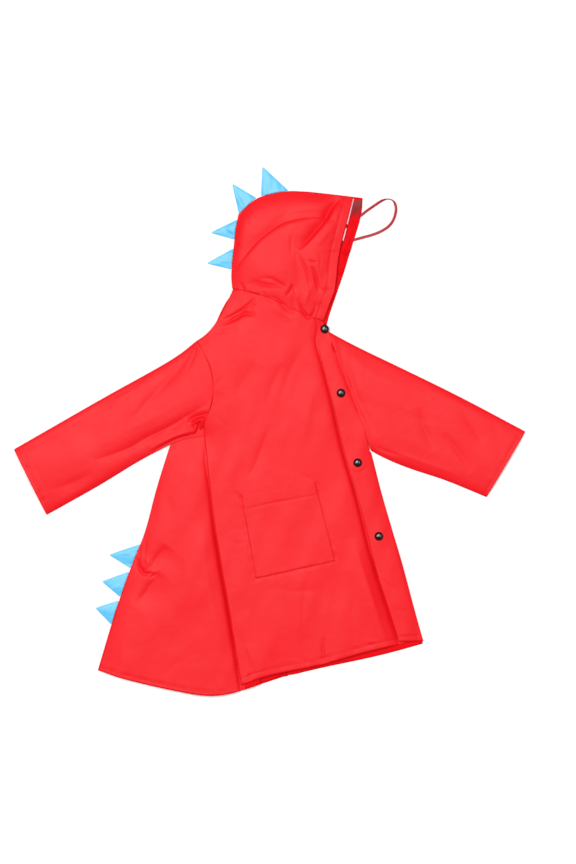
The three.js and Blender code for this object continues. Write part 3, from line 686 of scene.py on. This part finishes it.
# Sleeves
# Each is one piece of the same cloth, folded along its top and sewn along its underside into a flat tube,
# and set into the armhole. Its cuff is turned in and stitched.
SLEEVE_CREASES = {
    "sleeve_right": (math.radians(28), [Crease(*row) for row in (
        (9, 9, -2.6, [(-132, 160), (-152, 126), (-176, 98), (-202, 72), (-230, 40), (-256, 12)]),
        (4, 4, -0.8, [(-128, 156), (-138, 130), (-150, 104)]),
        (9, 7, -3.5, [(-108, 52), (-136, 36), (-158, 22), (-182, 8), (-214, -8), (-250, -28), (-316, -52)]),
        (5, 5, -1.7, [(-150, 20), (-168, 4), (-186, -4)]),
        (4, 4, -5.4, [(-106, 34), (-116, 31), (-130, 27), (-148, 19)]),
        (2.5, 3, -5.4, [(-131, -12), (-129, 0), (-124, 20)]),
        (2.5, 2.5, -5.4, [(-118, -14), (-119, 0), (-117, 18)]),
        (7, 7, -6.7, [(-142, -12), (-126, -4), (-108, -4)]),
        (3, 3, 5.0, [(-138, 10), (-132, 18), (-122, 23), (-112, 23)]),
        (2, 2, 3.6, [(-122, 4), (-121, 13), (-120, 22)]),
        (3, 3, 4.0, [(-138, -6), (-132, 4), (-130, 14)]),
        (6, 5, 2.8, [(-130, 2), (-146, -1), (-166, -7), (-190, -18), (-216, -33)]),
        (5, 5, -6.0, [(-118, -8), (-134, -8.5), (-160, -13.5), (-189, -27.5), (-212, -40)]),
        (9, 9, -1.1, [(-394, -104), (-356, -92), (-316, -74)]),
        (10, 10, 0.8, [(-140, 70), (-200, 30), (-270, 0)]),
        (10, 10, 0.7, [(-180, 126), (-230, 86), (-300, 46)]),
        (8, 8, -0.5, [(-300, 20), (-350, -10), (-420, -50)]),
        (3, 3, -0.3, [(-232, 86), (-258, 72), (-288, 60)]),
        (7, 7, -0.7, [(-420, -60), (-408, -90), (-404, -120)]),
        (14, 14, 1.4, [(-412, -154), (-400, -147), (-340, -112), (-280, -78), (-232, -53), (-220, -47)]),
    )]),
    "sleeve_left": (math.radians(-26), [Crease(*row) for row in (
        (7, 9, -2.0, [(268, 44), (280, 4), (296, -34)]),
        (9, 7, -2.2, [(314, -2), (340, -36), (364, -72)]),
        (7, 7, -1.4, [(344, 40), (366, 8), (386, -26)]),
        (6, 6, 0.8, [(200, -26), (270, -52), (350, -80)]),
        (4, 4, -0.8, [(186, -24), (204, -32), (236, -42)]),
        (10, 9, -3.2, [
            (120, 174), (128, 142), (137, 114), (147, 92), (158, 62), (169, 38), (181, 14), (190, -10),
        ]),
        (5, 4, -0.5, [(150, 150), (146, 118), (152, 84)]),
        (10, 10, 0.7, [(180, 110), (250, 80), (340, 40)]),
        (9, 9, -0.7, [(200, 60), (250, 30), (300, 20)]),
        (8, 8, -0.5, [(400, 30), (410, -10), (418, -50)]),
        (12, 12, 0.5, [(190, 40), (240, -10), (330, -50)]),
        # its fuller edges
        (14, 14, 1.6, [(178, -33), (190, -38), (250, -62), (320, -88), (391, -117), (402, -121)]),
        (14, 14, 1.2, [(140, 170), (250, 112), (360, 54), (455, 4), (466, -2)]),
    )]),
}
ARMHOLES = {
    "sleeve_right": ("front_right", (-130, 164), (-115.5, -8)),
    "sleeve_left": ("front_left", (183, -36), (104, 186)),
}
ARMHOLE_DROP = 0.5 * MM
SLEEVE_SEAT = {"sleeve_right": 4.8 * MM, "sleeve_left": 2.8 * MM}   # top of the sleeve's lower layer
SLEEVE_SINK = 0.85                 # a crease takes at most this share of the sleeve's hollow
SLEEVE_SEEDS = {"sleeve_right": 40, "sleeve_left": 50}


def held_up(rise, room):
    """The rise, with its creases no deeper than there is room for."""
    return np.maximum(rise, -np.maximum(room, 0))


for node, (angle, creases) in SLEEVE_CREASES.items():
    mesh = refine(fine_mesh(node), creases)
    points = points_of(mesh)
    upper = upper_share(points)
    seed = SLEEVE_SEEDS[node]
    waves = [Wave(0.8, 140, 40, angle, seed), Wave(0.4, 70, 20, angle, seed + 1)]
    tuck_under(points, smooth_route(outline_run(*ARMHOLES[node], 0))[0], ARMHOLE_DROP, upper)
    room = SLEEVE_SINK * (points[:, 2] - SLEEVE_SEAT[node])
    points[:, 2] += held_up(rise_of(points, waves, creases), room) * upper
    cloth[node] = lay_piece(node + "_cloth", node, mesh, points, red_cloth)


# Hood
# Two halves sewn together over the crown and down the back, lying in profile, with a turned and stitched
# front edge. Its far half rests on the surface, and its near half stands a little off it.
FAR_WAVES = [Wave(0.8, 30, 14, math.radians(60), 31), Wave(0.5, 16, 9, math.radians(20), 32)]
FAR_CREASES = [Crease(*row) for row in (
    (3, 3, 3.0, [(150, 366), (142, 340), (136, 318), (128, 296)]),
    (2.5, 4, 4.0, [(128, 330), (134, 324), (142, 326), (150, 338)]),
    (3, 2, 3.4, [(120, 292), (126, 286), (131, 290), (136, 304)]),
    (3, 3, 2.4, [(146, 384), (152, 370), (158, 362)]),
    (3, 3, 2.2, [(108, 226), (114, 246), (118, 264)]),
)]
FAR_TOP = 0.6 * MM                 # the far half's wall rises above this and stays put below it
HOOD_SEAT, HOOD_WALL = 1.9 * MM, 1.1 * MM   # the near half sinks no lower than the far half's top


def facing_up(mesh):
    normals = np.empty(3 * len(mesh.vertices))
    mesh.vertices.foreach_get("normal", normals)
    return normals[2::3] > 0


for node in ("hood_left", "hood_right"):
    creases = UPPER_CREASES if node == "hood_right" else FAR_CREASES
    mesh = refine(fine_mesh(node, sharpness=CUT_EDGE), creases)
    points = points_of(mesh)
    if node == "hood_right":
        room = points[:, 2] - HOOD_SEAT - np.where(facing_up(mesh), HOOD_WALL, 0)
        points[:, 2] += held_up(rise_of(points, BODY_WAVES, creases), room)
    else:
        ease_corner(points, (104, 198), (-1, -7))
        points[:, 2] += np.maximum(rise_of(points, FAR_WAVES, creases), 0) * (points[:, 2] > FAR_TOP)
    cloth[node] = lay_piece(node + "_cloth", node, mesh, points, red_cloth)


# Hood peak
# A brim of clear film, sewn in between the hood's edges so that the wearer can see from under it. Its rim is
# folded over; the pale pink of the rim ribbons along the near edge is a painted highlight on that fold.
PEAK_LEVELS = 2
RIM_WIDTH, RIM_THICKNESS = 2.3 * MM, 0.8 * MM
RIM_WAVER, RIM_WAVER_RATE = 0.25, 5   # its slight turning to and fro
RIMS = {
    "hood_peak_rim": [
        (151.6, 419.5, 1.8), (149, 409, 4.2), (146.6, 399, 6.0), (144.2, 389, 7.2), (141.8, 379, 8.0),
        (140.2, 373, 8.3),
    ],
    "hood_peak_rim_end": [(138.4, 366, 8.3), (136.4, 358, 8.3), (134.4, 350, 8.3), (132.8, 343.5, 8.2)],
}


def clear_film():
    # Its dark red-brown tint, more opaque towards the top, is partly painted shade: the red cloth in shade
    # seen through the film.
    made, shader, node, feed = material("clear_film", (0.36, 0.035, 0.04), 0.35)
    shader.inputs["Specular IOR Level"].default_value = 0.12
    place = node("TexCoord", {}).outputs["Object"]
    waves = node("TexNoise", {"Vector": place, "Scale": 60.0, "Detail": 2.0})
    bump = node("Bump", {"Height": waves.outputs["Fac"], "Distance": 0.002, "Strength": 0.4})
    feed("Normal", bump.outputs["Normal"])
    height = node("SeparateXYZ", {"Vector": place}).outputs["Y"]
    clear = node("MapRange", {
        "Value": height, "From Min": 387 * MM, "From Max": 410 * MM, "To Min": 0.05, "To Max": 0.80,
    })
    feed("Alpha", clear.outputs["Result"])
    return made


def rim_twist(share):
    return RIM_WAVER * math.sin(RIM_WAVER_RATE * share)


mesh = fine_mesh("hood_peak", PEAK_LEVELS, CUT_EDGE)
peak = lay_piece("hood_peak_film", "hood_peak", mesh, points_of(mesh), clear_film())
# pale pink: a painted highlight along the film's folded rim
rim_painted_highlight, *_ = material("film_rim_painted_highlight", (0.90, 0.52, 0.56), 0.3)
for name, route in RIMS.items():
    rim = ribbon(name, smooth_route(route)[0], rim_twist, RIM_WIDTH, RIM_THICKNESS)
    rim.data.materials.append(rim_painted_highlight)
    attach(rim, "root")


# Spikes
# Light blue satin, two layers sewn to a point and turned right side out, each caught by its base in a seam.
SPIKE_EDGE = 0.35                  # how sharp its turned edges stay
PUCKER, PUCKER_LENGTH, PUCKER_WIDTH = 0.9 * MM, 20 * MM, 7 * MM
PUCKER_FULL = 2.5 * MM             # the puckers are at their full height from here up
PUCKER_TURN = 30                   # degrees, from one spike to the next
SPIKE_SEED = 60


def spike_satin():
    made, _, node, feed = material("spike_satin", (0.12, 0.58, 0.90), 0.42)
    place = node("TexCoord", {}).outputs["Object"]
    patchy = node("TexNoise", {"Vector": place, "Scale": 40.0, "Detail": 3.0})
    tint = node("Mix", {
        "Factor": patchy.outputs["Fac"], "A": (0.065, 0.46, 0.82, 1), "B": (0.14, 0.61, 0.92, 1),
    }, data_type="RGBA")
    feed("Base Color", tint.outputs["Result"])
    crinkle = node("TexNoise", {"Vector": place, "Scale": 130.0, "Detail": 4.0})
    bump = node("Bump", {"Height": crinkle.outputs["Fac"], "Distance": 0.001, "Strength": 0.4})
    feed("Normal", bump.outputs["Normal"])
    return made


def spike_rise(points, number):
    """Puckers in a spike's upper face, which fade out at its turned edges."""
    x, y = points[:, 0], points[:, 1]
    angle = math.radians(PUCKER_TURN * number)
    rise = PUCKER * ripple(x, y, PUCKER_LENGTH, PUCKER_WIDTH, angle, SPIKE_SEED + number)
    return rise * np.clip(points[:, 2] / PUCKER_FULL, 0, 1)


blue_satin = spike_satin()
for number, node in enumerate(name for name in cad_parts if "spike" in name):
    mesh = fine_mesh(node, sharpness=SPIKE_EDGE)
    points = points_of(mesh)
    points[:, 2] += spike_rise(points, number)
    cloth[node] = lay_piece(node + "_satin", node, mesh, points, blue_satin)


# Snaps
# Press studs with black enamelled caps, riveted through the front strip, which they hold down.
black, shader, *_ = material("snap_black", (0.008, 0.005, 0.006), 0.2)
shader.inputs["Coat Weight"].default_value = 0.4
shader.inputs["Specular IOR Level"].default_value = 0.3
shader.inputs["Coat Roughness"].default_value = 0.04
for node in (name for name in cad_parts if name.startswith("snap")):
    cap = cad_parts[node].data
    cap.materials.clear()
    cap.materials.append(black)


# Stitches
# Lock-stitch in red thread along the hems, the cuffs, the pocket and the hood's front edge, about 3 mm
# each. The thread is drawn darker than the cloth, as painted shade of the stitched line.
PITCH, STITCH_LENGTH, STITCH_THICKNESS = 3.2 * MM, 2.5 * MM, 0.6 * MM
OVERHEAD = 0.1                     # a height clear above the whole coat


def edge_row(name):
    row = HEM_ROWS[name]
    return name, row.node, outline_run(row.node, row.start, row.end, row.thread)


STITCH_ROWS = [
    *(edge_row(name) for name in ("hem_back", "hem_front", "hood_facing", "cuff_right", "cuff_left")),
    ("pocket_hem", "pocket", [(-45, -139), (0, -128), (44, -120), (90, -111)]),
    *(edge_row(name) for name in ("pocket_left", "pocket_bottom", "pocket_right")),
    ("strip_hem", "front_left", [(237, -367), (250, -366.5), (264, -366)]),
]


def stitch_tree():
    """Geometry Nodes: one long bead of thread at every pitch along a curve."""
    tree = bpy.data.node_groups.new("stitches", "GeometryNodeTree")
    for name, kind in (
        ("Row", "NodeSocketGeometry"), ("Pitch", "NodeSocketFloat"), ("Length", "NodeSocketFloat"),
        ("Thickness", "NodeSocketFloat"), ("Thread", "NodeSocketMaterial"),
    ):
        tree.interface.new_socket(name, in_out="INPUT", socket_type=kind)
    tree.interface.new_socket("Stitches", in_out="OUTPUT", socket_type="NodeSocketGeometry")

    def node(kind, **settings):
        new = tree.nodes.new(kind)
        for key, value in settings.items():
            setattr(new, key, value)
        return new

    given, result = node("NodeGroupInput"), node("NodeGroupOutput")
    evenly = node("GeometryNodeResampleCurve", mode="LENGTH")
    bead = node("GeometryNodeMeshUVSphere")
    bead.inputs["Segments"].default_value = 6
    bead.inputs["Rings"].default_value = 4
    bead.inputs["Radius"].default_value = 0.5
    size = node("ShaderNodeCombineXYZ")
    tangent = node("GeometryNodeInputTangent")
    turn = node("FunctionNodeAlignEulerToVector", axis="X")
    place = node("GeometryNodeInstanceOnPoints")
    smooth = node("GeometryNodeSetShadeSmooth")
    whole = node("GeometryNodeRealizeInstances")
    colour = node("GeometryNodeSetMaterial")
    for source, target in (
        (given.outputs["Row"], evenly.inputs["Curve"]),
        (given.outputs["Pitch"], evenly.inputs["Length"]),
        (given.outputs["Length"], size.inputs["X"]),
        (given.outputs["Thickness"], size.inputs["Y"]),
        (given.outputs["Thickness"], size.inputs["Z"]),
        (tangent.outputs["Tangent"], turn.inputs["Vector"]),
        (evenly.outputs["Curve"], place.inputs["Points"]),
        (bead.outputs["Mesh"], smooth.inputs["Geometry"]),
        (smooth.outputs["Geometry"], place.inputs["Instance"]),
        (turn.outputs["Rotation"], place.inputs["Rotation"]),
        (size.outputs["Vector"], place.inputs["Scale"]),
        (place.outputs["Instances"], whole.inputs["Geometry"]),
        (whole.outputs["Geometry"], colour.inputs["Geometry"]),
        (given.outputs["Thread"], colour.inputs["Material"]),
        (colour.outputs["Geometry"], result.inputs["Stitches"]),
    ):
        tree.links.new(source, target)
    return tree


def on_cloth(piece, route):
    """The route's points, set on the piece's upper face."""
    mesh = piece.data
    tree = BVHTree.FromPolygons(points_of(mesh).tolist(), [face.vertices[:] for face in mesh.polygons])
    hits = (tree.ray_cast(Vector((x, y, OVERHEAD)), Vector((0, 0, -1)))[0] for x, y, _ in route)
    return [hit for hit in hits if hit is not None]


# darker than the cloth: painted shade of the stitched line
thread, *_ = material("red_thread_shaded", (0.40, 0.004, 0.010), 0.6)
stitching = stitch_tree()
for name, node, route in STITCH_ROWS:
    curve = bpy.data.curves.new(name, "CURVE")
    curve.dimensions = "3D"
    spline = curve.splines.new("POLY")
    places = on_cloth(cloth[node], smooth_route(route)[0])
    spline.points.add(len(places) - 1)
    spline.points.foreach_set("co", [value for place in places for value in (*place, 1)])
    row = link(name, curve)
    sewing = row.modifiers.new("sewing", "NODES")
    sewing.node_group = stitching
    sockets = {item.name: item.identifier for item in stitching.interface.items_tree}
    for label, value in (
        ("Pitch", PITCH), ("Length", STITCH_LENGTH), ("Thickness", STITCH_THICKNESS), ("Thread", thread),
    ):
        sewing[sockets[label]] = value
    mesh = bpy.data.meshes.new_from_object(row.evaluated_get(bpy.context.evaluated_depsgraph_get()))
    bpy.data.objects.remove(row)
    stitches = link(name + "_stitches", mesh)
    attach(stitches, "root")


# Floor and light
# A white table in a pale room, with a large soft light high over its upper left and a weaker one to its
# right.
FLOOR_HALF = 4.0
floor = bpy.data.meshes.new("floor")
floor.from_pydata([
    (-FLOOR_HALF, -FLOOR_HALF, 0), (FLOOR_HALF, -FLOOR_HALF, 0), (FLOOR_HALF, FLOOR_HALF, 0),
    (-FLOOR_HALF, FLOOR_HALF, 0),
], [], [(0, 1, 2, 3)])
floor.materials.append(material("floor_white", (0.93, 0.93, 0.93), 0.9)[0])
link("floor", floor)

world = bpy.data.worlds.new("studio")
bpy.context.scene.world = world
world.use_nodes = True
world.node_tree.nodes["Background"].inputs["Color"].default_value = (1, 1, 1, 1)
world.node_tree.nodes["Background"].inputs["Strength"].default_value = 0.16


def soft_light(name, place, size, power):
    data = bpy.data.lights.new(name, "AREA")
    data.size = size
    data.energy = power
    lamp = bpy.data.objects.new(name, data)
    lamp.location = place
    lamp.rotation_euler = (-Vector(place)).to_track_quat("-Z", "Y").to_euler()
    bpy.context.scene.collection.objects.link(lamp)


soft_light("over", place=(-2.0, 2.4, 12.0), size=6.0, power=1350)
soft_light("right", place=(4.5, 0.8, 12.0), size=5.0, power=310)
bpy.context.scene.view_settings.view_transform = "Standard"
